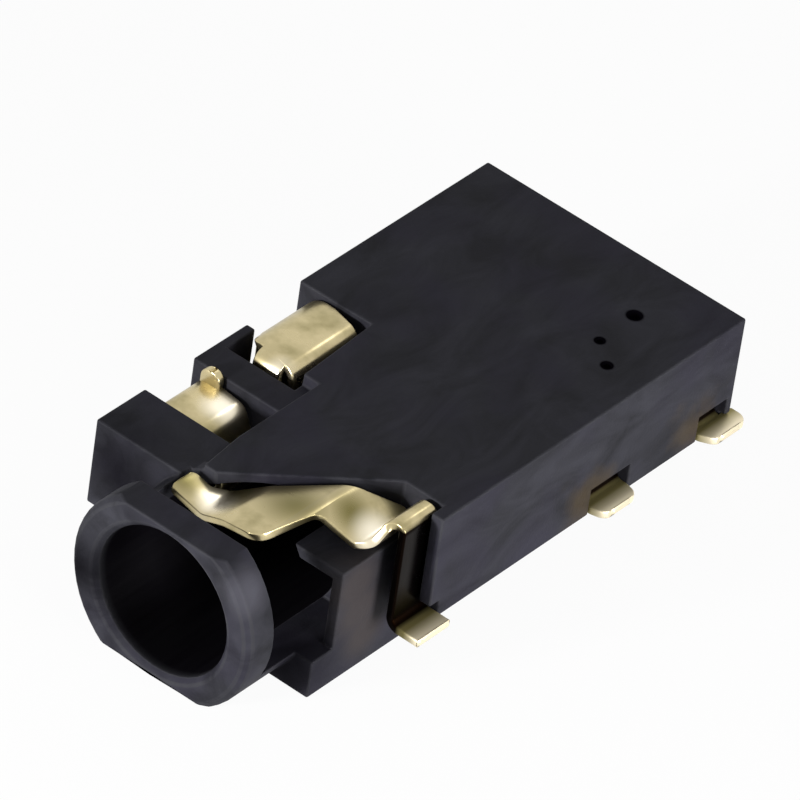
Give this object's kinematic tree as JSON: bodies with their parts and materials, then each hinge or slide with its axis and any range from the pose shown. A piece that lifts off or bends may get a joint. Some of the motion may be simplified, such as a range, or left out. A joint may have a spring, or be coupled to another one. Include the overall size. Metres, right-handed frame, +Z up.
{
  "type": "audio jack socket",
  "caption": "Low surface-mount socket for a 3.5 mm audio plug: a black moulded housing with gold spring contacts and solder feet.",
  "frame": {"origin": "centre of the part's box, on the flat underside that it rests on", "axes": "+Y from the plug opening to the rear, +X to the right seen from the plug opening, +Z up from the board"},
  "size_m": [0.0082, 0.0154, 0.0041],
  "materials": {
    "housing_plastic": "matte",
    "contact_gold": "satin"
  },
  "bodies": {
    "root": {"housing": "housing_plastic", "sleeve_contact": "contact_gold", "ring_two_contact": "contact_gold", "ring_one_contact": "contact_gold", "tip_contact": "contact_gold", "switch_contact": "contact_gold"}
  },
  "joints": []
}
